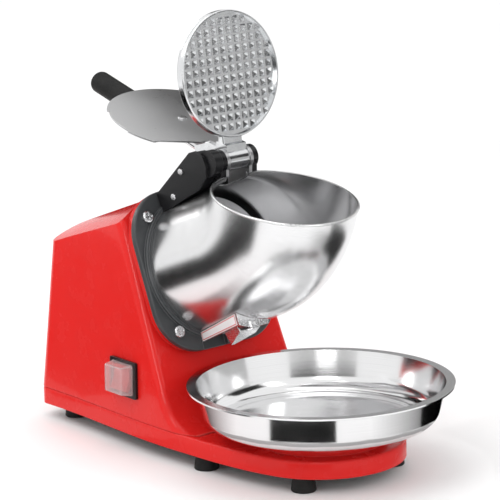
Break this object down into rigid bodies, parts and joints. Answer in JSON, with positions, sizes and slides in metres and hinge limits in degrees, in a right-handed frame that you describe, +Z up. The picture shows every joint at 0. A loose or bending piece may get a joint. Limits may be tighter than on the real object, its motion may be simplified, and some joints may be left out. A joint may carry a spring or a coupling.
{
  "type": "shaved ice machine",
  "caption": "Countertop electric shaved ice machine: motor in an inclined red housing, bent steel hopper, lever with toothed press plate and lid, and a removable steel bowl.",
  "frame": {"origin": "on the surface the feet stand on, under the middle of the overall box", "axes": "+X towards the bowl (front), +Z up, +Y to the machine's left seen from the rear; the switch is on the -Y side"},
  "size_m": [0.4289, 0.23, 0.3875],
  "materials": {
    "red_shell": "high gloss red",
    "base_underside": "matt dark grey",
    "foot_rubber": "matt black",
    "steel_screws": "bright zinc plate",
    "switch_black": "semi-gloss black",
    "clear_boot": "clear flexible plastic",
    "rocker_red": "translucent red",
    "grey_casting": "satin dark grey paint",
    "hopper_steel": "fine brushed round the tube",
    "lug_steel": "satin",
    "black_casting": "satin black paint",
    "black_cover": "semi-gloss black",
    "nylon_white": "natural nylon",
    "guard_steel": "bright sheet",
    "label_white": "white film, blank, thin red border",
    "motor_casting": "as cast",
    "motor_can": "dark zinc",
    "bearing_steel": "ground",
    "board_green": "circuit board",
    "shaft_steel": "ground",
    "rotor_iron": "lacquered core",
    "fan_plastic": "moulded black",
    "disc_steel": "stainless, satin",
    "blade_steel": "ground edge",
    "cast_aluminium": "as cast, tumbled",
    "rod_chrome": "plated",
    "grip_rubber": "matt black",
    "lid_steel": "satin stainless",
    "bowl_steel": "mirror-polished stainless steel"
  },
  "bodies": {
    "housing": {"base_tray": "red_shell", "base_plate": "base_underside", "feet": "foot_rubber", "foot_screws": "steel_screws", "housing_shell": "red_shell", "housing_screws": "steel_screws", "switch_bezel": "switch_black", "switch_body": "switch_black", "switch_boot": "clear_boot", "cord_gland": "foot_rubber", "blade_housing": "grey_casting", "blade_housing_screws": "steel_screws", "hopper": "hopper_steel", "hinge_lugs": "lug_steel", "hinge_bosses": "black_casting", "pivot_bracket": "black_casting", "bracket_screws": "steel_screws", "switch_box": "black_cover", "switch_cover": "black_cover", "switch_cover_screws": "steel_screws", "microswitch": "switch_black", "ice_guard": "guard_steel", "ice_deflector": "guard_steel", "guard_label": "label_white", "guard_screw": "steel_screws", "motor_front_bell": "motor_casting", "motor_can": "motor_can", "motor_rear_bell": "motor_casting", "motor_screws": "steel_screws", "front_bearing": "bearing_steel", "rear_bearing": "bearing_steel", "shaft_seal": "foot_rubber", "rectifier_board": "board_green"},
    "drive": {"motor_shaft": "shaft_steel", "rotor": "rotor_iron", "cooling_fan": "fan_plastic", "blade_disc": "disc_steel", "blades": "blade_steel", "blade_screws": "steel_screws", "blade_nut": "disc_steel"},
    "lever": {"press_plate": "cast_aluminium", "press_arm": "cast_aluminium", "press_arm_screws": "steel_screws", "handle_rod": "rod_chrome", "handle_grip": "grip_rubber", "lid": "lid_steel", "lid_standoff": "cast_aluminium", "lid_screw": "steel_screws", "pivot_pin": "rod_chrome", "switch_cam": "nylon_white"},
    "rocker": {"rocker": "rocker_red"},
    "plunger": {"microswitch_plunger": "nylon_white"},
    "bowl": {"bowl": "bowl_steel"}
  },
  "joints": [
    {"name": "drive_spin", "type": "hinge", "parent": "housing", "child": "drive", "pos_m": [-0.04676, 0, 0.15745], "axis": [0.9304, 0, 0.3665], "continuous": true},
    {"name": "lever_hinge", "type": "hinge", "parent": "housing", "child": "lever", "pos_m": [-0.0068, 0, 0.258], "axis": [0, 1, 0], "range_deg": [0, 176.6]},
    {"name": "rocker_tip", "type": "hinge", "parent": "housing", "child": "rocker", "pos_m": [-0.0733, -0.07515, 0.0645], "axis": [0.9968, -0.0802, 0], "range_deg": [0, 15]},
    {"name": "interlock_button", "type": "slide", "parent": "housing", "child": "plunger", "axis": [-1, 0, 0], "range_m": [0, 0.0008], "stiffness_N_per_m": 300, "springref_m": -0.001},
    {"name": "bowl_draw", "type": "slide", "parent": "housing", "child": "bowl", "axis": [0.9659, 0, 0.2588], "range_m": [0, 0.24]}
  ]
}
